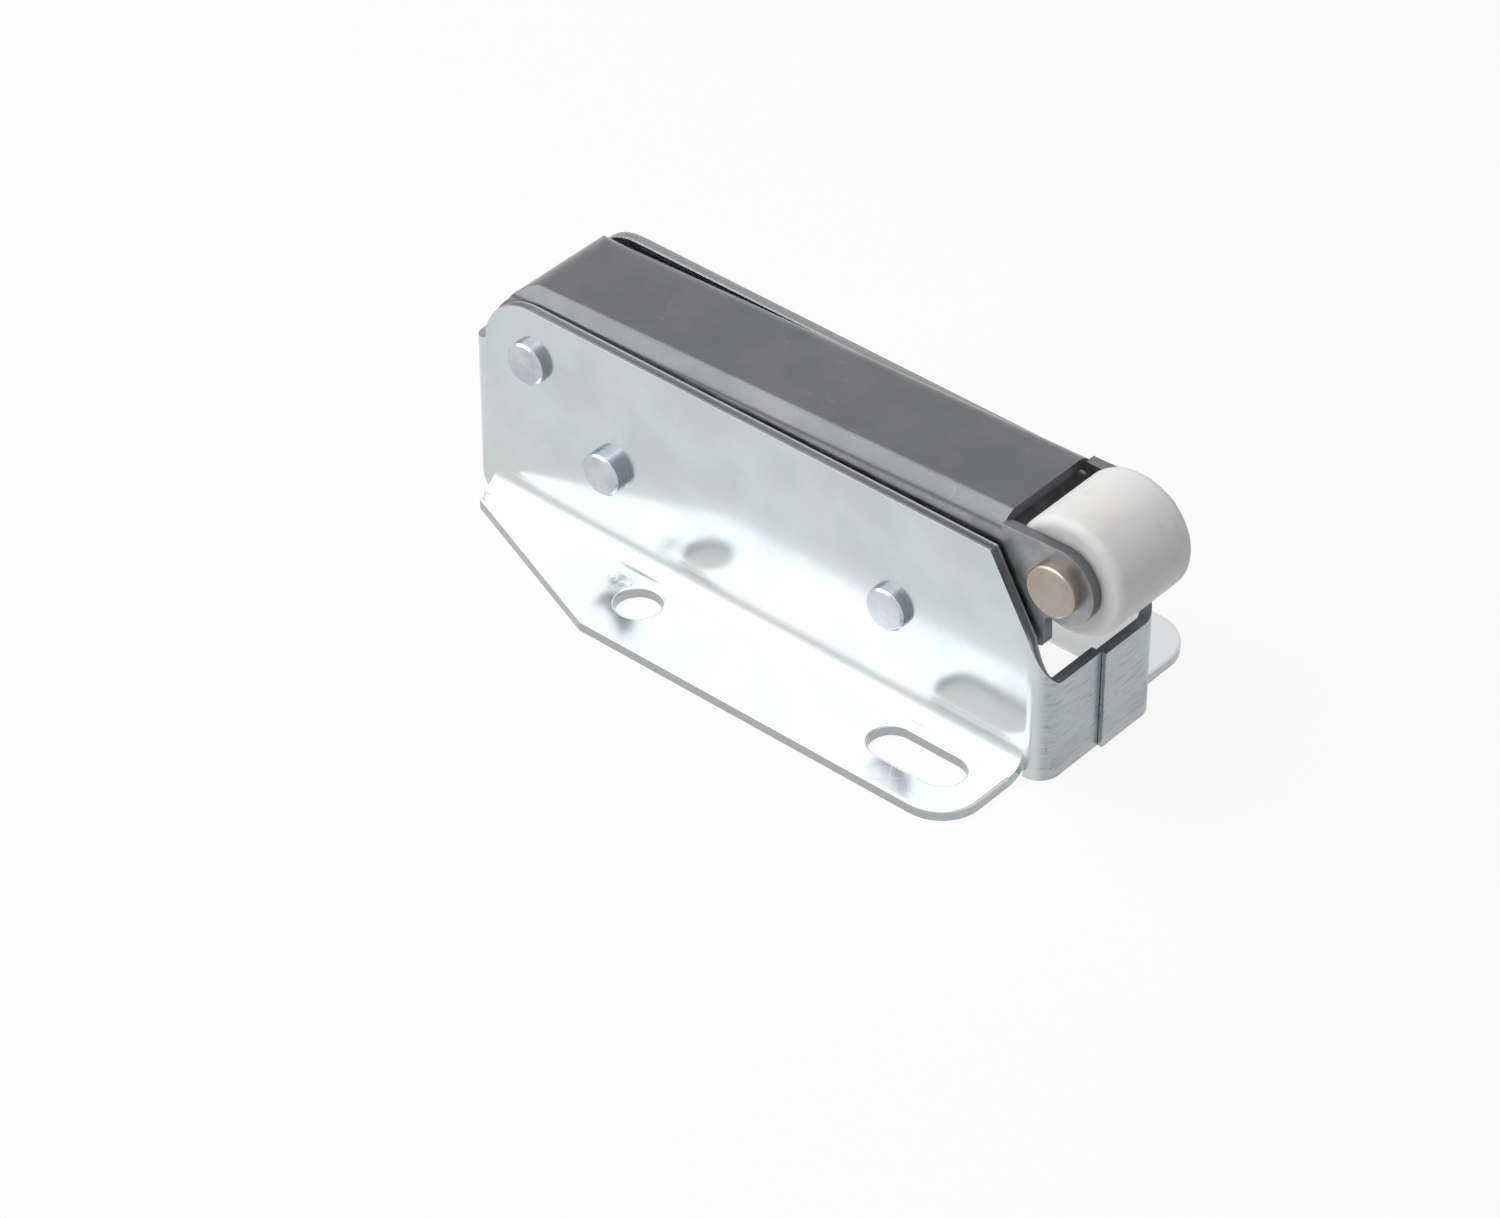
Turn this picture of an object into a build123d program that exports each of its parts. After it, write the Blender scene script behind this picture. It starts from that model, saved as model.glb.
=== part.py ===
from build123d import *
import os
from math import acos, asin, atan2, cos, degrees, hypot, radians, sin

# Touch latch, in millimetres.
# X runs along the latch towards the roller, Y across it and Z up from the mounting plane.
# The origin is midway between the two round screw holes, on the mounting plane.

# Sheet metal of the housing and the arm
sheet = 1.0

# Housing
body_width = 14.4
wall_height = 21.2
rear_face_x = -23.15
near_tab_face_x = 39.93
far_tab_face_x = 40.4
corner_radius = 2.0
front_wall_height = 9.8
rear_wall_height = 15.2
rear_wall_gap = 1.4
top_edge_front_x = 33.73
front_edge_slope = 1.71
seam_y = -0.1
seam_gap = 0.06

# Mounting flanges
near_flange_width = 9.55
far_flange_width = 8.7
flange_bend_radius = 1.8
flange_front_gap = 0.15
flange_rear_x = -20.5
flange_tip_x = -19.9
flange_tip_out = 2.7
flange_shoulder_x = -2.15
flange_corner_radius = 4.0
flange_edge_round = 0.25
hole_radius = 2.05
hole_out = 4.5
slot_x = 30.4
slot_length = 9.4

# Cross pins of the housing: place along X, height, and how far each stands out
pin_radius = 2.0
pin_chamfer = 0.2
pivot_x, pivot_z, pivot_stands_out = -16.0, 16.05, 0.85
rest_x, rest_z, rest_stands_out = -7.24, 8.91, 1.2
stop_x, stop_z, stop_stands_out = 23.6, 10.3, 0.85

# Arm, in its own frame: origin at the pivot pin, X along the arm
arm_rise = 2.3
arm_swing = 6.0
arm_width = 11.8
arm_top = 5.7
arm_blank_depth = 20.0
arm_bottom = -5.2
arm_bend_radius = 1.0
arm_top_front_x = 50.0
arm_side_front_x = 54.35
arm_rear_round = 5.4
belly_rear_x, belly_front_x, belly_bottom = 20.0, 32.0, -8.8
keel_rear_x, keel_front_x, keel_bottom = 34.6, 42.6, -15.0
belly_run_in, keel_run_out = 3.0, 2.0
outline_round, keel_round, neck_round, lip_round = 2.0, 3.0, 0.7, 0.6
end_wall_width = 7.8
end_wall_bend_radius = 2.0
end_wall_x = -3.35
end_wall_bottom = -1.0
running_gap = 0.05

# Roller and its axle
axle_x, axle_z = 55.75, 1.58
axle_radius = 1.75
axle_head_radius = 2.38
axle_stands_out = 1.2
axle_head_round = 0.3
ear_radius = 3.53
roller_radius = 5.47
roller_width = 9.4
roller_shoulder = 0.8
hub_radius = 3.1
hub_stands_out = 0.12

# Over-centre spring between the stop pin and the arm
trunnion_reach = 24.0
trunnion_radius = 2.6
trunnion_flat = 2.2
trunnion_end_radius = 1.5
rod_radius = 1.5
rod_end_gap = 0.7
rod_head_radius = 2.3
rod_head_length = 1.0
fork_width = 5.0
fork_height = 6.6
fork_length = 4.0
fork_prong = 1.2
spring_wire = 0.9
spring_radius = 2.6
spring_turns = 5
washer_thickness = 0.6
spring_end_gap = 0.15

# Worked out from the above
half_width = body_width / 2
arm_half = arm_width / 2
stop_reach = hypot(stop_x - pivot_x, stop_z - pivot_z)
stop_angle = degrees(atan2(stop_z - pivot_z, stop_x - pivot_x))
arm_place = Location((pivot_x, 0, pivot_z), (0, -arm_rise, 0))
axle_place = arm_place * Location((axle_x, 0, axle_z))

# The spring's line passes through the pivot when the arm is half way up.
trunnion_angle = stop_angle - arm_rise - arm_swing / 2
trunnion_local_x = trunnion_reach * cos(radians(trunnion_angle))
trunnion_local_z = trunnion_reach * sin(radians(trunnion_angle))
trunnion_centre = (arm_place * Location((trunnion_local_x, 0, trunnion_local_z))).position
guide_reach = hypot(trunnion_centre.X - stop_x, trunnion_centre.Z - stop_z)
guide_rise = degrees(atan2(trunnion_centre.Z - stop_z, stop_x - trunnion_centre.X))
guide_place = Location((stop_x, 0, stop_z), (0, guide_rise, 0))


def across(profile, half):
    """Extrude a profile drawn in X and Z to both sides of the middle plane."""
    return extrude(Plane.XZ * profile, amount=half, both=True)


def shaft(radius, length, chamfer_size=0.0):
    """A round pin along Y, centred, with chamfered ends."""
    pin = Rot(90, 0, 0) * Cylinder(radius, length)
    if chamfer_size:
        pin = chamfer(pin.edges().filter_by(GeomType.CIRCLE), chamfer_size)
    return pin


def nearest_corner(sketch, x, z):
    """The corner of a profile that lies nearest to a point."""
    return sketch.vertices().sort_by_distance((x, z, 0))[0]


def cut_edge_height(high, low, share):
    """Height of the sheet's cut edge part of the way round a corner bend."""
    return low + (high - low) * (1 - share) ** 1.7


def corner_keep(centre_x, centre_y, high, low, base):
    """The space a corner bend fills, with its top edge running down round the bend."""
    steps = 6
    along = 1 if centre_x > 0 else -1
    aside = 1 if centre_y > 0 else -1
    near_axis, far_out = 0.4 * corner_radius, 1.3 * corner_radius
    sections = []
    for step in range(steps + 1):
        share = step / steps
        turn = radians(90 * share)
        top = cut_edge_height(high, low, share)
        bottom = base * sin(turn)
        inner = (centre_x + along * near_axis * sin(turn), centre_y + aside * near_axis * cos(turn))
        outer = (centre_x + along * far_out * sin(turn), centre_y + aside * far_out * cos(turn))
        outline = Polyline((*inner, bottom), (*outer, bottom), (*outer, top), (*inner, top), close=True)
        sections.append(make_face(outline))
    return loft(sections)


def wall_loop():
    """The bare wall of the housing: one strip folded round, its ends meeting at the front."""
    side_y = half_width - sheet / 2
    near_front = near_tab_face_x - sheet / 2
    far_front = far_tab_face_x - sheet / 2
    rear = rear_face_x + sheet / 2
    path = FilletPolyline(
        (near_front, seam_y - seam_gap / 2),
        (near_front, -side_y),
        (rear, -side_y),
        (rear, side_y),
        (far_front, side_y),
        (far_front, seam_y + seam_gap / 2),
        radius=corner_radius - sheet / 2,
    )
    return extrude(trace(path, sheet), wall_height)


def side_keep(tangent_x, tangent_z):
    """Outline of a side wall: rounded about the pivot behind, sloping down in front."""
    rear_tangent_x = rear_face_x + corner_radius
    round_radius = wall_height - pivot_z
    round_start = degrees(acos((rear_tangent_x - pivot_x) / round_radius))
    rear_round = CenterArc((pivot_x, pivot_z), round_radius, round_start, 90 - round_start)
    edge = Polyline(
        rear_round @ 1,
        (top_edge_front_x, wall_height),
        (tangent_x, tangent_z),
        (tangent_x, 0),
        (rear_tangent_x, 0),
        rear_round @ 0,
    )
    rear_height = (rear_round @ 0).Y
    return make_face(rear_round + edge), rear_height


def slab(low, high):
    """A box between two corners."""
    size = [b - a for a, b in zip(low, high)]
    return Pos(*low) * Box(*size, align=Align.MIN)


def front_tangent_x(side):
    """Where a side wall starts to bend towards its tab of the front wall."""
    tab_face_x = near_tab_face_x if side < 0 else far_tab_face_x
    return tab_face_x - corner_radius


def wall_half(loop, side):
    """One side wall with its half of the rear wall and its tab of the front wall."""
    tangent_x = front_tangent_x(side)
    tangent_z = wall_height - front_edge_slope * (tangent_x - top_edge_front_x)
    outline, rear_height = side_keep(tangent_x, tangent_z)
    rear_tangent_x = rear_face_x + corner_radius
    bend_y = half_width - corner_radius
    strip = across(outline, half_width) & slab(
        (rear_tangent_x, min(0, side * half_width), 0),
        (tangent_x, max(0, side * half_width), wall_height),
    )
    keeps = [
        strip,
        corner_keep(tangent_x, side * bend_y, tangent_z, front_wall_height, 0),
        corner_keep(rear_tangent_x, side * bend_y, rear_height, rear_wall_height, rear_wall_gap),
    ]
    return [loop & keep for keep in keeps]


def flange(side):
    """A mounting flange: bent out from the foot of a side wall, with a hole and a slot."""
    root_height = flange_bend_radius + 2 * sheet
    bend = flange_bend_radius + sheet / 2
    edge_y = half_width + (near_flange_width if side < 0 else far_flange_width)
    path = FilletPolyline(
        (half_width - sheet / 2, root_height),
        (half_width - sheet / 2, sheet / 2),
        (edge_y, sheet / 2),
        radius=bend,
    )
    front_x = front_tangent_x(side) - flange_front_gap
    section = Plane.YZ.offset(rear_face_x) * trace(path, sheet)
    bent = extrude(section, front_x - rear_face_x + 1)
    outline = make_face(
        Polyline(
            (flange_rear_x, 0),
            (flange_rear_x, half_width + sheet),
            (flange_tip_x, half_width + flange_tip_out),
            (flange_shoulder_x, edge_y),
            (front_x, edge_y),
            (front_x, 0),
            close=True,
        )
    )
    outline = fillet(nearest_corner(outline, front_x, edge_y), flange_corner_radius)
    hole_y = half_width + hole_out
    outline -= Pos(0, hole_y) * Circle(hole_radius)
    outline -= Pos(slot_x, hole_y) * SlotOverall(slot_length, 2 * hole_radius)
    flat_y = half_width + flange_bend_radius
    root = bent & extrude(outline, root_height) & slab((-30, 0, 0), (50, flat_y, root_height))
    plate = extrude(outline, sheet)
    rim = plate.edges().group_by(Axis.Z)[-1].filter_by(lambda edge: edge.center().Y > half_width)
    plate = fillet(rim, flange_edge_round) & slab((-30, flat_y, 0), (50, edge_y, sheet))
    whole = root + plate
    return whole if side > 0 else mirror(whole, Plane.XZ)


def housing():
    """Folded housing: two side walls, a rear wall, two front tabs and two flanges."""
    loop = wall_loop()
    root_height = flange_bend_radius + 2 * sheet
    bend_y = half_width - corner_radius
    pieces = wall_half(loop, -1) + wall_half(loop, 1)
    pieces.append(loop & slab((rear_face_x, -bend_y, rear_wall_gap), (0, bend_y, rear_wall_height)))
    pieces.append(loop & slab((0, -bend_y, 0), (50, bend_y, front_wall_height)))
    body = pieces[0]
    for piece in pieces[1:]:
        body += piece
    for side in (-1, 1):
        low_y, high_y = sorted((side * (half_width - 2 * sheet), side * (half_width + sheet)))
        front_x = front_tangent_x(side) - flange_front_gap
        body -= slab((flange_rear_x, low_y, 0), (front_x, high_y, root_height))
        body += flange(side)
    for x, z in ((pivot_x, pivot_z), (rest_x, rest_z), (stop_x, stop_z)):
        body -= Pos(x, 0, z) * shaft(pin_radius, 2 * body_width)
    return body


def cross_pin(x, z, stands_out):
    """A pin through both side walls, standing out of each by the same amount."""
    return Pos(x, 0, z) * shaft(pin_radius, body_width + 2 * stands_out, pin_chamfer)


def stop_slot():
    """Curved slot about the pivot, in which the stop pin ends the arm's swing both ways."""
    start = stop_angle - arm_rise
    arc = CenterArc((0, 0), stop_reach, start, -arm_swing)
    return SlotArc(arc, 2 * pin_radius + 4 * running_gap)


def arm_side_outline():
    """Side view of the arm: round end at the pivot, deeper round the stop slot, ears in front."""
    rear_x = end_wall_x - sheet / 2
    belly_start_x = belly_rear_x - belly_run_in
    keel_end_x = keel_front_x + keel_run_out
    ear_bottom = axle_z - ear_radius
    side = make_face(
        Polyline(
            (rear_x, end_wall_x),
            (rear_x, arm_top),
            (arm_top_front_x, arm_top),
            (arm_top_front_x, axle_z + ear_radius),
            (axle_x, axle_z + ear_radius),
            (axle_x, ear_bottom),
            (arm_side_front_x, ear_bottom),
            (arm_side_front_x, arm_bottom),
            (keel_end_x, arm_bottom),
            (keel_front_x, keel_bottom),
            (keel_rear_x, keel_bottom),
            (belly_front_x, belly_bottom),
            (belly_rear_x, belly_bottom),
            (belly_start_x, arm_bottom),
            (0, arm_bottom),
            close=True,
        )
    )
    side = fillet(nearest_corner(side, rear_x, arm_top), end_wall_bend_radius + sheet)
    side += Circle(arm_rear_round)
    side += Pos(axle_x, axle_z) * Circle(ear_radius)
    for x, z, radius in (
        (arm_side_front_x, ear_bottom, neck_round),
        (arm_side_front_x, arm_bottom, lip_round),
        (keel_end_x, arm_bottom, outline_round),
        (keel_front_x, keel_bottom, keel_round),
        (keel_rear_x, keel_bottom, keel_round),
        (belly_front_x, belly_bottom, outline_round),
        (belly_rear_x, belly_bottom, outline_round),
        (belly_start_x, arm_bottom, outline_round),
    ):
        side = fillet(nearest_corner(side, x, z), radius)
    side -= Circle(pin_radius + running_gap)
    side -= Pos(axle_x, axle_z) * Circle(axle_radius)
    side -= Pos(trunnion_local_x, trunnion_local_z) * Circle(trunnion_end_radius + running_gap)
    return side - stop_slot()


def arm_blank(depth_in):
    """The space within the folded channel, to its outer faces or to a depth inside them."""
    half = arm_half - depth_in
    top = arm_top - depth_in
    section = Pos(0, (top - arm_blank_depth) / 2) * Rectangle(2 * half, top + arm_blank_depth)
    upper = section.vertices().group_by(Axis.Y)[-1]
    section = fillet(upper, arm_bend_radius + sheet - depth_in)
    return extrude(Plane.YZ.offset(-2 * arm_rear_round) * section, 2 * arm_rear_round + arm_top_front_x)


def arm():
    """Folded arm: an upturned channel with ears for the roller and a bent-down end wall."""
    outside = arm_blank(0)
    channel = outside - arm_blank(sheet)
    for side in (-1, 1):
        low_y, high_y = sorted((side * arm_half, side * (arm_half - sheet)))
        channel += slab((arm_top_front_x, low_y, -arm_blank_depth), (axle_x + ear_radius, high_y, arm_top))
    channel &= across(arm_side_outline(), arm_half)
    end_bend = end_wall_bend_radius + sheet / 2
    end_tangent_x = end_wall_x + end_bend
    bend_y = arm_half - arm_bend_radius - sheet
    channel -= slab((-2 * arm_rear_round, -bend_y, 0), (end_tangent_x, bend_y, arm_top))
    top_z = arm_top - sheet / 2
    end_path = FilletPolyline(
        (end_tangent_x + 1, top_z), (end_wall_x, top_z), (end_wall_x, end_wall_bottom), radius=end_bend
    )
    curl = trace(end_path, sheet)
    corner_bottom = arm_top - arm_bend_radius - sheet
    corner_region = slab((-10, -arm_half, corner_bottom), (10, arm_half, arm_top))
    corners = across(curl, arm_half) & outside & corner_region
    return arm_place * (channel + corners + across(curl, end_wall_width / 2))


def roller():
    """Moulded roller with rounded shoulders and a low hub on each face."""
    body = shaft(roller_radius, roller_width)
    body = fillet(body.edges().filter_by(GeomType.CIRCLE), roller_shoulder)
    body += shaft(hub_radius, roller_width + 2 * hub_stands_out)
    body -= shaft(axle_radius + running_gap, 2 * roller_width)
    return axle_place * body


def roller_axle():
    """Shouldered axle, headed outside both ears of the arm."""
    length = arm_width + 2 * axle_stands_out
    heads = shaft(axle_head_radius, length) - shaft(2 * axle_head_radius, arm_width)
    rims = heads.edges().filter_by(lambda edge: abs(edge.center().Y) > length / 2 - axle_head_round)
    heads = fillet(rims, axle_head_round)
    return axle_place * (shaft(axle_radius, length - axle_stands_out) + heads)


def spring_guide():
    """Rod with a fork that bears on the stop pin and a head that keeps the trunnion on."""
    tail = guide_reach + trunnion_flat + rod_end_gap
    fork_half, fork_rise = fork_width / 2, fork_height / 2
    block = slab((-fork_length, -fork_half, -fork_rise), (fork_prong, fork_half, fork_rise))
    block = fillet(block.edges().filter_by(Axis.Y), 0.6)
    seat = Circle(pin_radius + running_gap)
    seat += Pos(fork_length, 0) * Rectangle(2 * fork_length, 2 * (pin_radius + running_gap))
    block -= across(seat, fork_width)
    rod = Pos(-fork_length, 0, 0) * Rot(0, -90, 0) * extrude(Circle(rod_radius), tail - fork_length)
    head = Pos(-tail, 0, 0) * Rot(0, -90, 0) * extrude(Circle(rod_head_radius), rod_head_length)
    head = fillet(head.edges().sort_by(Axis.X)[0], 0.4)
    return guide_place * (block + rod + head)


def trunnion():
    """Cross-drilled pin that turns in the arm and lets the guide rod slide through."""
    reach = arm_half - sheet - 0.5
    body = shaft(trunnion_radius, 2 * reach) & slab(
        (-trunnion_flat, -reach, -trunnion_radius), (trunnion_flat, reach, trunnion_radius)
    )
    body += shaft(trunnion_end_radius, arm_width)
    body -= Rot(0, 90, 0) * Cylinder(rod_radius + 2 * running_gap, 4 * trunnion_radius)
    return guide_place * Pos(-guide_reach, 0, 0) * body


def spring_washer():
    """Flat washer between the spring and the trunnion."""
    profile = Circle(spring_radius + 0.7) - Circle(rod_radius + 2 * running_gap)
    washer = Rot(0, 90, 0) * extrude(profile, washer_thickness)
    return guide_place * Pos(trunnion_flat - guide_reach, 0, 0) * washer


def toggle_spring():
    """Compression spring round the guide rod, between the fork and the washer."""
    room = guide_reach - trunnion_flat - washer_thickness - fork_length
    height = room - spring_wire - running_gap - spring_end_gap
    coil = Helix(height / spring_turns, height, spring_radius)
    wire = sweep(Plane(coil @ 0, z_dir=coil % 0) * Circle(spring_wire / 2), path=coil, is_frenet=True)
    start = fork_length + running_gap + spring_wire / 2
    return guide_place * Pos(-start, 0, 0) * Rot(0, -90, 0) * wire


def main():
    nodes = {
        "housing": housing(),
        "pivot_pin": cross_pin(pivot_x, pivot_z, pivot_stands_out),
        "rest_pin": cross_pin(rest_x, rest_z, rest_stands_out),
        "stop_pin": cross_pin(stop_x, stop_z, stop_stands_out),
        "arm": arm(),
        "roller_axle": roller_axle(),
        "roller": roller(),
        "spring_guide": spring_guide(),
        "toggle_spring": toggle_spring(),
        "trunnion": trunnion(),
        "spring_washer": spring_washer(),
    }
    os.makedirs("parts", exist_ok=True)
    for name, shape in nodes.items():
        export_step(shape, f"parts/{name}.step")
    print(f"guide reach {guide_reach:.2f}, guide rise {guide_rise:.2f} degrees")
    print(f"trunnion centre {trunnion_centre}, axle centre {axle_place.position}")


main()
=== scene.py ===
import bpy
import math
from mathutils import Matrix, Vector

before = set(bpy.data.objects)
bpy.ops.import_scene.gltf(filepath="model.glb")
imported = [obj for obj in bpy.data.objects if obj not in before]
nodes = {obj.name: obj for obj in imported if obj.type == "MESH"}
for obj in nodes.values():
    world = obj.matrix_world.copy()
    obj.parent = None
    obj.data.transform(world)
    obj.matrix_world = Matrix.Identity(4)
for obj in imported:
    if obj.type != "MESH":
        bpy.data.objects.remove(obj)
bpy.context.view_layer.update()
print("frame loaded:", len(nodes), "nodes")


# One output socket of a shader node, so that shader maths reads as an expression
class Link:
    def __init__(self, finish, socket):
        self.finish = finish
        self.socket = socket

    def math(self, operation, first, second):
        return self.finish.node("ShaderNodeMath", {"operation": operation}, {0: first, 1: second})

    def __add__(self, other):
        return self.math("ADD", self, other)

    def __sub__(self, other):
        return self.math("SUBTRACT", self, other)

    def __mul__(self, other):
        return self.math("MULTIPLY", self, other)

    def __rsub__(self, other):
        return self.math("SUBTRACT", other, self)

    __radd__ = __add__
    __rmul__ = __mul__

    def larger(self, other):
        return self.math("MAXIMUM", self, other)

    def size(self):
        return self.finish.node("ShaderNodeMath", {"operation": "ABSOLUTE"}, {0: self})

    # 0 below low, 1 above high, and smooth between them
    def step(self, low, high):
        sockets = {"Value": self, "From Min": low, "From Max": high}
        return self.finish.node("ShaderNodeMapRange", {"interpolation_type": "SMOOTHSTEP"}, sockets)


# One material or world, whose nodes all come from the same method
class Finish:
    def __init__(self, owner):
        self.owner = owner
        owner.use_nodes = True
        self.tree = owner.node_tree
        self.tree.nodes.clear()

    def node(self, kind, settings={}, values={}, output=0):
        made = self.tree.nodes.new(kind)
        for name, value in settings.items():
            setattr(made, name, value)
        for name, value in values.items():
            if isinstance(value, Link):
                self.tree.links.new(value.socket, made.inputs[name])
            else:
                made.inputs[name].default_value = value
        return Link(self, made.outputs[output]) if len(made.outputs) else made

    # The point in millimetres, in the piece's own axes
    def place(self):
        metres = self.node("ShaderNodeTexCoord", output="Object")
        return self.node("ShaderNodeVectorMath", {"operation": "SCALE"}, {0: metres, "Scale": 1000})

    # Which way the surface faces, in the piece's own axes
    def facing(self):
        return self.node("ShaderNodeTexCoord", output="Normal")

    def axis(self, vector, name):
        return self.node("ShaderNodeSeparateXYZ", values={0: vector}, output=name)

    def turned(self, place, turn, stretch):
        angles = [math.radians(a) for a in turn]
        values = {"Vector": place, "Rotation": angles, "Scale": stretch}
        return self.node("ShaderNodeMapping", {"vector_type": "POINT"}, values)

    def noise(self, place, scale, detail=3.0, roughness=0.5):
        values = {"Vector": place, "Scale": scale, "Detail": detail, "Roughness": roughness}
        return self.node("ShaderNodeTexNoise", values=values)

    # Fine short scratches along one direction: noise drawn out into streaks, whose peaks show
    def scratches(self, place, turn, fine=8.0, length=22.0, low=0.74, high=0.80):
        drawn = self.turned(place, turn, (fine / length, fine, fine))
        return self.noise(drawn, 1.0, 1.0).step(low, high) * self.noise(place, 0.3, 2.0).step(0.4, 0.6)

    # Long curved hairlines, where a smooth noise passes its middle value
    def hairlines(self, place, scale, thin):
        middle = self.noise(place, scale, 1.0, 0.4) - 0.5
        line = 1 - middle.size().step(thin * 0.3, thin)
        return line * self.noise(place, scale * 4, 2.0).step(0.48, 0.58)

    # Dust: small dots scattered one to a cell
    def specks(self, place, scale, size):
        cells = self.node("ShaderNodeTexVoronoi", values={"Vector": place, "Scale": scale})
        return 1 - cells.step(size * scale * 0.5, size * scale)

    # A blurred round patch
    def patch(self, place, centre, radius):
        between = {0: place, 1: centre}
        away = self.node("ShaderNodeVectorMath", {"operation": "DISTANCE"}, between, output=1)
        return 1 - away.step(radius * 0.3, radius)

    def colour(self, share, first, second):
        first, second = [c if isinstance(c, Link) else (*c, 1) for c in (first, second)]
        values = {0: share, 6: first, 7: second}
        return self.node("ShaderNodeMix", {"data_type": "RGBA"}, values, output=2)

    def finishWith(self, values):
        shader = self.node("ShaderNodeBsdfPrincipled", values=values)
        self.node("ShaderNodeOutputMaterial", values={"Surface": shader})
        return self.owner


def newFinish(name):
    return Finish(bpy.data.materials.new(name))


def dress(material, *names):
    for name in names:
        slots = nodes[name].data.materials
        slots.clear()
        slots.append(material)


# How square to an axis a face stands, between not at all and fully counted as facing it
square = (0.9, 0.97)

# The cuts functions give how much of a cut edge or turned side a point is, which is coloured darker,
# partly as painted shade, how much rougher it is there, and how far the surface stands out. Places are
# in millimetres, each as from and to.
housingEdges = {
    "topHeight": (4.0, 4.1),
    "topTurn": (0.15, 0.3),
    "sideTurn": (0.2, 0.35),
    "flangeOut": (7.4, 7.5),
    "flangeHeight": (1.2, 1.3),
    "flangeShade": 0.6,
    "tornOut": (6.4, 6.95),
    "tornRoughness": 0.25,
    "tornLean": 9.0,
    "bendStart": (1.0, 1.1),
    "bendEnd": (2.6, 3.6),
    "bendRoughness": 0.16,
    "swellEnd": (1.8, 3.5),
    "swell": 4.5,
}


# The plating leaves the cut edges duller, and their darker colour is partly painted shade for the dark
# surroundings they mirror; the bend into the flange is rougher and swells a little
def housingCutsAndPaintedShade(finish, place):
    edges = housingEdges
    up = finish.axis(finish.facing(), "Z")
    height = finish.axis(place, "Z")
    aside = finish.axis(place, "Y").size()
    tops = height.step(*edges["topHeight"]) * up.step(*edges["topTurn"])
    upright = 1 - up.size().step(*edges["sideTurn"])
    lowDown = 1 - height.step(*edges["flangeHeight"])
    flangeSides = upright * aside.step(*edges["flangeOut"]) * lowDown
    torn = tops * (1 - aside.step(*edges["tornOut"]))
    lean = finish.axis(place, "Y") * torn * edges["tornLean"]
    bendSwell = (1 - height.step(*edges["swellEnd"])) * edges["swell"]
    bend = height.step(*edges["bendStart"]) * (1 - height.step(*edges["bendEnd"]))
    roughness = torn * edges["tornRoughness"] + bend * edges["bendRoughness"]
    return tops.larger(flangeSides * edges["flangeShade"]), roughness, lean + bendSwell


armEdges = {
    "sideOut": (4.85, 4.95),
    "sideTurn": (0.1, 0.2),
    "sideShade": 0.4,
    "sideRoughness": 0.1,
    "frontTurn": (0.9, 0.95),
    "frontRoughness": 0.2,
}


def armCuts(finish, place):
    facing = finish.facing()
    aside = finish.axis(place, "Y").size()
    notAside = 1 - finish.axis(facing, "Y").size().step(*armEdges["sideTurn"])
    sides = aside.step(*armEdges["sideOut"]) * notAside
    front = finish.axis(facing, "X").step(*armEdges["frontTurn"])
    roughness = sides * armEdges["sideRoughness"] + front * armEdges["frontRoughness"]
    return sides * armEdges["sideShade"], roughness, 0.0


pinSides = {"turn": (0.2, 0.5), "shade": 0.75}


# Painted shade: the pins' turned sides are coloured darker than their ends, standing in for the dark
# surroundings they mirror
def pinSidesPaintedShade(finish, place):
    sides = 1 - finish.axis(finish.facing(), "Y").size().step(*pinSides["turn"])
    return sides * pinSides["shade"], 0.0, 0.0


def noCuts(finish, place):
    return 0.0, 0.0, 0.0


tabMarks = {
    "start": (38.6, 39.6),
    "slant": (48, 0, 0),
    "stretch": (1.0, 0.45, 4.0),
    "paintedLightAndWear": 0.6,     # painted shade: how much greyer the tabs are all over
    "scuffed": 0.4,  # and how much more at a scuff
}


# Painted shade on the housing's front tabs: greyed all over, standing in for the shadowed floor they
# mirror, and greyer still at slanting scuffs and pits
def tabScuffsAndPaintedShade(finish, place):
    onTabs = finish.axis(place, "X").step(*tabMarks["start"])
    rubbed = finish.turned(place, tabMarks["slant"], tabMarks["stretch"])
    scuffs = finish.noise(rubbed, 1.3, 5.0, 0.65).step(0.5, 0.68)
    pits = finish.noise(place, 3.2, 3.0, 0.6).step(0.58, 0.68)
    pits = pits * finish.noise(place, 0.35, 1.0).step(0.4, 0.6)
    return onTabs * (tabMarks["paintedLightAndWear"] + scuffs * tabMarks["scuffed"]).larger(pits)


sideMarks = {"paintedLightAndWear": 0.5, "scuffed": 0.3}


# Painted sheen: the arm's side faces are coloured lighter all over, standing in for the pale
# surroundings they mirror, and lighter still where they rub along the housing's walls
def sideScuffsAndPaintedSheen(finish, place):
    onSides = finish.axis(finish.facing(), "Y").size().step(*square)
    scuffs = finish.noise(place, 0.4, 4.0, 0.6).step(0.4, 0.6)
    return onSides * (sideMarks["paintedLightAndWear"] + scuffs * sideMarks["scuffed"])


def noScuffs(finish, place):
    return 0.0


housingReflectionTints = {
    "flange": (0.72, 0.725, 0.73),
    "flangeShare": 0.8,
    "foot": (0.585, 0.63, 0.60),
    "footShare": 0.6,
    "footEnd": (4.0, 10.0),
}


# Painted reflection: the flanges are coloured whiter than the walls, and the walls yellower low down,
# standing in for what they mirror
def housingPaintedReflection(finish, place, colour):
    facing = finish.facing()
    onFlange = finish.axis(facing, "Z").step(*square)
    onWall = finish.axis(facing, "Y").size().step(*square)
    foot = 1 - finish.axis(place, "Z").step(*housingReflectionTints["footEnd"])
    colour = finish.colour(onFlange * housingReflectionTints["flangeShare"], colour, housingReflectionTints["flange"])
    return finish.colour(onWall * foot * housingReflectionTints["footShare"], colour, housingReflectionTints["foot"])


def noTinge(finish, place, colour):
    return colour


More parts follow.
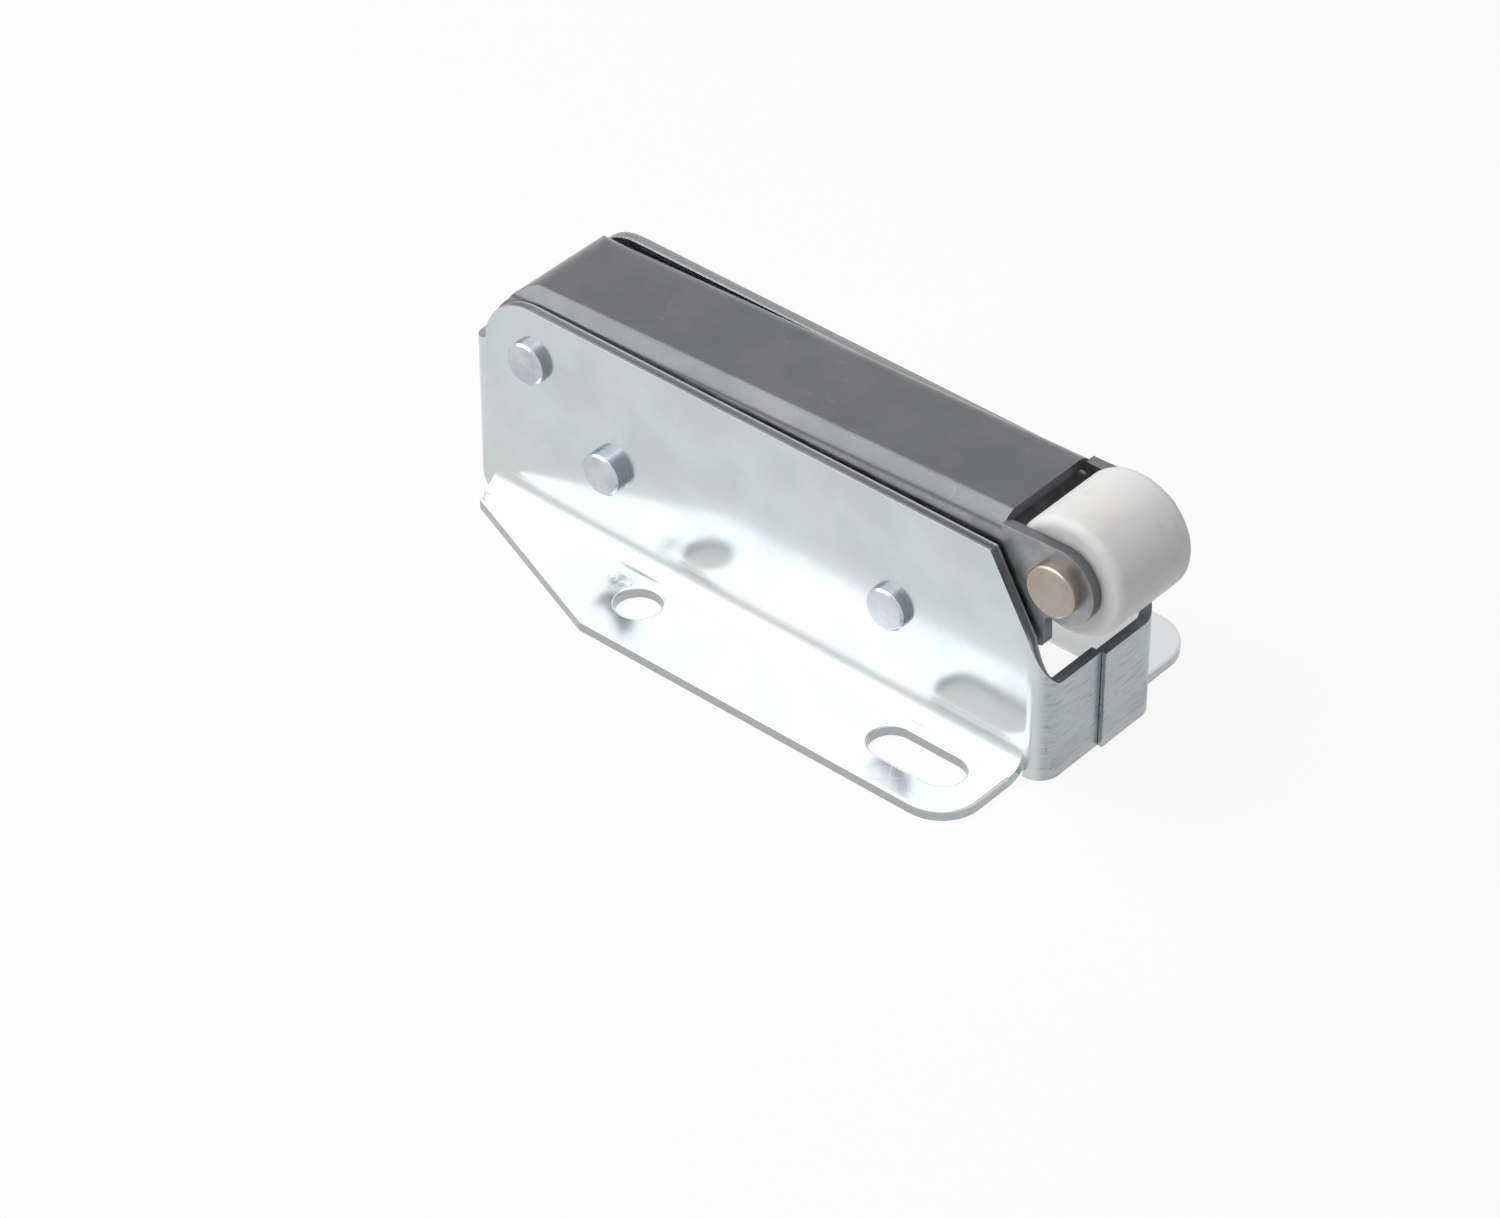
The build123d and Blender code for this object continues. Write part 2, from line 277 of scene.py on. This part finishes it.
plateMarks = {
    "scratchTurns": ((0, 0, 12), (20, -15, 64)),
    "hairlines": (0.07, 0.0012),
    "hairlineShade": 0.5,
    "largeSpecks": (0.55, 0.07),
    "smallSpecks": (0.9, 0.035),
    "smallSpeckShade": 0.8,
    "roughness": 0.15,
    "depth": 0.03,
    "wornRoughness": 0.2,
    "cutRoughness": 0.08,
    "bumpDistance": 0.0001,
}


# Plated or bare metal, faintly clouded and tinted, with hairlines, scratches and dust, and the painted
# shade, sheen and reflection that some pieces' hooks add
def zincPlate(name, look, cutsAndPaintedShade=noCuts, scuffs=noScuffs, paintedReflection=noTinge, stains=()):
    finish = newFinish(name)
    place = finish.place()
    clouds = finish.noise(place, look["cloudScale"], 4.0, 0.55)
    colour = finish.colour(clouds.step(0.35, 0.65), look["colour"], look["cloudColour"])
    for scale, tint in look["tints"]:
        share = finish.noise(place, scale, 3.0).step(0.5, 0.72) * look["tint"]
        colour = finish.colour(share, colour, tint)
    # Painted reflection on the housing: whiter flanges and a yellower foot of the walls
    colour = paintedReflection(finish, place, colour)
    first, second = [finish.scratches(place, turn) for turn in plateMarks["scratchTurns"]]
    hairlines = finish.hairlines(place, *plateMarks["hairlines"]) * plateMarks["hairlineShade"]
    largeSpecks = finish.specks(place, *plateMarks["largeSpecks"])
    smallSpecks = finish.specks(place, *plateMarks["smallSpecks"]) * plateMarks["smallSpeckShade"]
    marks = first.larger(second).larger(hairlines).larger(largeSpecks).larger(smallSpecks)
    colour = finish.colour(marks * look["markShade"], colour, look["markColour"])
    smudges = clouds.step(0.3, 0.7) * look["smudge"]
    roughness = look["roughness"] + smudges + marks * plateMarks["roughness"]
    grain = finish.noise(place, 5.0, 2.0)
    # Painted shade on the tabs and painted sheen on the arm's sides come in here, beside real wear and
    # stains
    paintedLightAndWear = scuffs(finish, place)
    for centre, radius, depth in stains:
        mottle = finish.noise(place, 1.6, 4.0, 0.75).step(0.3, 0.7)
        paintedLightAndWear = finish.patch(place, centre, radius) * mottle * depth + paintedLightAndWear
    colour = finish.colour(paintedLightAndWear, colour, look["stainAndPaintedLightColour"])
    # Cut edges are coloured darker, partly as painted shade; the pins' turned sides get painted shade
    # here
    cutAndPaintedShade, torn, lean = cutsAndPaintedShade(finish, place)
    colour = finish.colour(cutAndPaintedShade * look["cutAndPaintedShadeShare"], colour, look["cutAndPaintedShadeColour"])
    roughness = roughness + paintedLightAndWear * plateMarks["wornRoughness"] + cutAndPaintedShade * plateMarks["cutRoughness"] + torn
    relief = finish.noise(place, 0.12, 1.0) * look["wave"] + grain * look["grain"]
    relief = relief - marks * plateMarks["depth"] + lean
    rounded = finish.node("ShaderNodeBevel", {"samples": 4}, {"Radius": look["edgeRound"]})
    sockets = {"Strength": look["bump"], "Distance": plateMarks["bumpDistance"]}
    bump = finish.node("ShaderNodeBump", values={**sockets, "Height": relief, "Normal": rounded})
    sockets = {"Base Color": colour, "Metallic": 1.0, "Roughness": roughness, "Normal": bump}
    return finish.finishWith(sockets)


housingLook = {
    "colour": (0.60, 0.655, 0.685),
    "cloudColour": (0.55, 0.605, 0.625),
    "cloudScale": 0.16,
    "tint": 0.65,
    "tints": ((0.11, (0.61, 0.64, 0.60)), (0.17, (0.60, 0.595, 0.65))),
    "markShade": 0.45,
    "markColour": (0.42, 0.46, 0.50),
    # Stains, and the painted shade that greys the front tabs
    "stainAndPaintedLightColour": (0.28, 0.32, 0.35),
    # The cut edges' dark colour is partly painted shade
    "cutAndPaintedShadeShare": 0.8,
    "cutAndPaintedShadeColour": (0.20, 0.205, 0.215),
    "roughness": 0.15,
    "smudge": 0.05,
    "wave": 1.0,
    "grain": 0.03,
    "bump": 0.25,
    "edgeRound": 0.00009,
}
# Each stain's centre and radius in millimetres, and its strength
flangeStains = (((-3.2, -10.4, 1.0), 1.7, 0.9),)
# Painted reflection: the arm's colours are darker than plain zinc, between that and the dark room its
# top mirrors
armLook = {
    **housingLook,
    "colour": (0.17, 0.172, 0.185),
    "cloudColour": (0.145, 0.148, 0.160),
    "tint": 0.15,
    "roughness": 0.19,
    "smudge": 0.06,
    "tints": ((0.11, (0.17, 0.173, 0.17)), (0.17, (0.17, 0.167, 0.19))),
    "stainAndPaintedLightColour": (0.38, 0.385, 0.39),  # painted sheen on the side faces, lighter still where they rub
    "markColour": (0.34, 0.345, 0.36),
}
pinLook = {
    **housingLook,
    "colour": (0.58, 0.615, 0.65),
    "cloudColour": (0.48, 0.51, 0.56),
    "cloudScale": 0.5,
    # Painted shade: the dark colour of the pins' turned sides
    "cutAndPaintedShadeColour": (0.22, 0.23, 0.25),
    "roughness": 0.17,
    "smudge": 0.08,
    "edgeRound": 0.00007,
}
innerLook = {
    **housingLook,
    "colour": (0.58, 0.60, 0.62),
    "roughness": 0.3,
    "tint": 0.15,
    "edgeRound": 0.00007,
}
axleLook = {
    **housingLook,
    "colour": (0.42, 0.36, 0.305),
    "cloudColour": (0.36, 0.31, 0.265),
    "cloudScale": 0.5,
    "tint": 0.4,
    "tints": ((0.5, (0.41, 0.355, 0.325)), (0.9, (0.42, 0.39, 0.34))),
    "roughness": 0.26,
    "smudge": 0.12,
    "markColour": (0.40, 0.34, 0.29),
    "edgeRound": 0.00007,
}
springLook = {**innerLook, "colour": (0.50, 0.51, 0.54), "tint": 0.0}

housingZinc = zincPlate("housingZinc", housingLook, housingCutsAndPaintedShade, tabScuffsAndPaintedShade, housingPaintedReflection, flangeStains)
dress(housingZinc, "housing")
dress(zincPlate("armZinc", armLook, armCuts, sideScuffsAndPaintedSheen), "arm")
dress(zincPlate("pinSteel", pinLook, pinSidesPaintedShade), "pivot_pin", "rest_pin", "stop_pin")
dress(zincPlate("guideSteel", innerLook), "spring_guide", "trunnion")
dress(zincPlate("washerSteel", innerLook), "spring_washer")
dress(zincPlate("axleSteel", axleLook), "roller_axle")
dress(zincPlate("springSteel", springLook), "toggle_spring")
print("metal finishes done")

rollerLook = {
    "colour": (0.90, 0.89, 0.875),
    "shade": (0.80, 0.775, 0.745),
    "grime": 0.5,
    "roughness": 0.52,
    "uneven": 0.15,
    "relief": 0.3,
    "bump": 0.2,
    "bumpDistance": 0.0001,
    "depth": 0.22,
    "depthScale": 0.002,
    "depthRadius": (1, 0.9, 0.8),
}


# Moulded off-white plastic with a little handling grime
def rollerPlastic(look):
    finish = newFinish("rollerPlastic")
    place = finish.place()
    grime = finish.noise(place, 0.5, 4.0, 0.6).step(0.5, 0.72)
    colour = finish.colour(grime * look["grime"], look["colour"], look["shade"])
    roughness = look["roughness"] + finish.noise(place, 1.2, 3.0) * look["uneven"]
    relief = finish.noise(place, 3.0, 2.0) * look["relief"]
    sockets = {"Strength": look["bump"], "Distance": look["bumpDistance"], "Height": relief}
    bump = finish.node("ShaderNodeBump", values=sockets)
    return finish.finishWith({
        "Base Color": colour,
        "Roughness": roughness,
        "Normal": bump,
        "Subsurface Weight": look["depth"],
        "Subsurface Scale": look["depthScale"],
        "Subsurface Radius": look["depthRadius"],
    })


dress(rollerPlastic(rollerLook), "roller")
print("plastic finish done")

studio = {
    "floorSize": 4.0,
    "floorColour": (0.88, 0.88, 0.88, 1),
    "floorShown": 0.9,  # share of the floor that shows as plain white; the rest keeps the shadow
    "roomLight": (0.06, 0.06, 0.065),  # what the studio's walls add to the lamps
}


# 1 for rays from the camera and for mirrored and transmitted ones, which all see the white background
def shown(finish):
    camera, glossy, through = [
        finish.node("ShaderNodeLightPath", output=f"Is {kind} Ray")
        for kind in ("Camera", "Glossy", "Transmission")
    ]
    return camera.larger(glossy).larger(through)


def floorFinish():
    finish = newFinish("floorWhite")
    diffuse = finish.node("ShaderNodeBsdfDiffuse", values={"Color": studio["floorColour"]})
    plain = finish.node("ShaderNodeEmission", values={"Color": (1, 1, 1, 1)})
    share = shown(finish) * studio["floorShown"]
    mixed = finish.node("ShaderNodeMixShader", values={0: share, 1: diffuse, 2: plain})
    finish.node("ShaderNodeOutputMaterial", values={"Surface": mixed})
    return finish.owner


bpy.ops.object.select_all(action="DESELECT")
bpy.ops.mesh.primitive_plane_add(size=studio["floorSize"], location=(0, 0, 0))
floor = bpy.context.object
floor.name = "floor"
floor.data.materials.append(floorFinish())


def worldFinish():
    world = bpy.data.worlds.new("studio")
    bpy.context.scene.world = world
    finish = Finish(world)
    light = finish.colour(shown(finish), studio["roomLight"], (1, 1, 1))
    background = finish.node("ShaderNodeBackground", values={"Color": light})
    finish.node("ShaderNodeOutputWorld", values={"Surface": background})


worldFinish()

# Lamps: where they stand, seen from the latch, their size, distance and power
lamps = {
    "keySoftbox": {"towards": (-0.58, -0.35, 0.735), "size": 1.0, "distance": 0.75, "power": 4.8},
    "topSoftbox": {"towards": (0.05, -0.2, 0.98), "size": 0.6, "distance": 0.75, "power": 2.5},
}
aim = Vector((0.008, 0, 0.012))


def addLamp(name, spec):
    away = Vector(spec["towards"]).normalized()
    bpy.ops.object.light_add(type="AREA", location=aim + away * spec["distance"])
    lamp = bpy.context.object
    lamp.name = name
    lamp.data.shape = "SQUARE"
    lamp.data.size = spec["size"]
    lamp.data.energy = spec["power"]
    lamp.rotation_euler = away.to_track_quat("Z", "Y").to_euler()


for lampName, lampSpec in lamps.items():
    addLamp(lampName, lampSpec)
print("floor, world and lamps done")

# The camera stands where the photograph was taken from
view = {
    "place": (0.25328, -0.28964, 0.30024),
    "turn": (51.4196, 0.003, 40.9101),
    "lens": 137.16,
    "sensorWidth": 36,
    "nearest": 0.01,
    "furthest": 20,
}
viewTurn = [math.radians(a) for a in view["turn"]]
bpy.ops.object.camera_add(location=view["place"], rotation=viewTurn)
camera = bpy.context.object
camera.data.sensor_width = view["sensorWidth"]
camera.data.lens = view["lens"]
camera.data.clip_start = view["nearest"]
camera.data.clip_end = view["furthest"]
bpy.context.scene.camera = camera
bpy.context.scene.view_settings.view_transform = "Standard"
print("camera done")
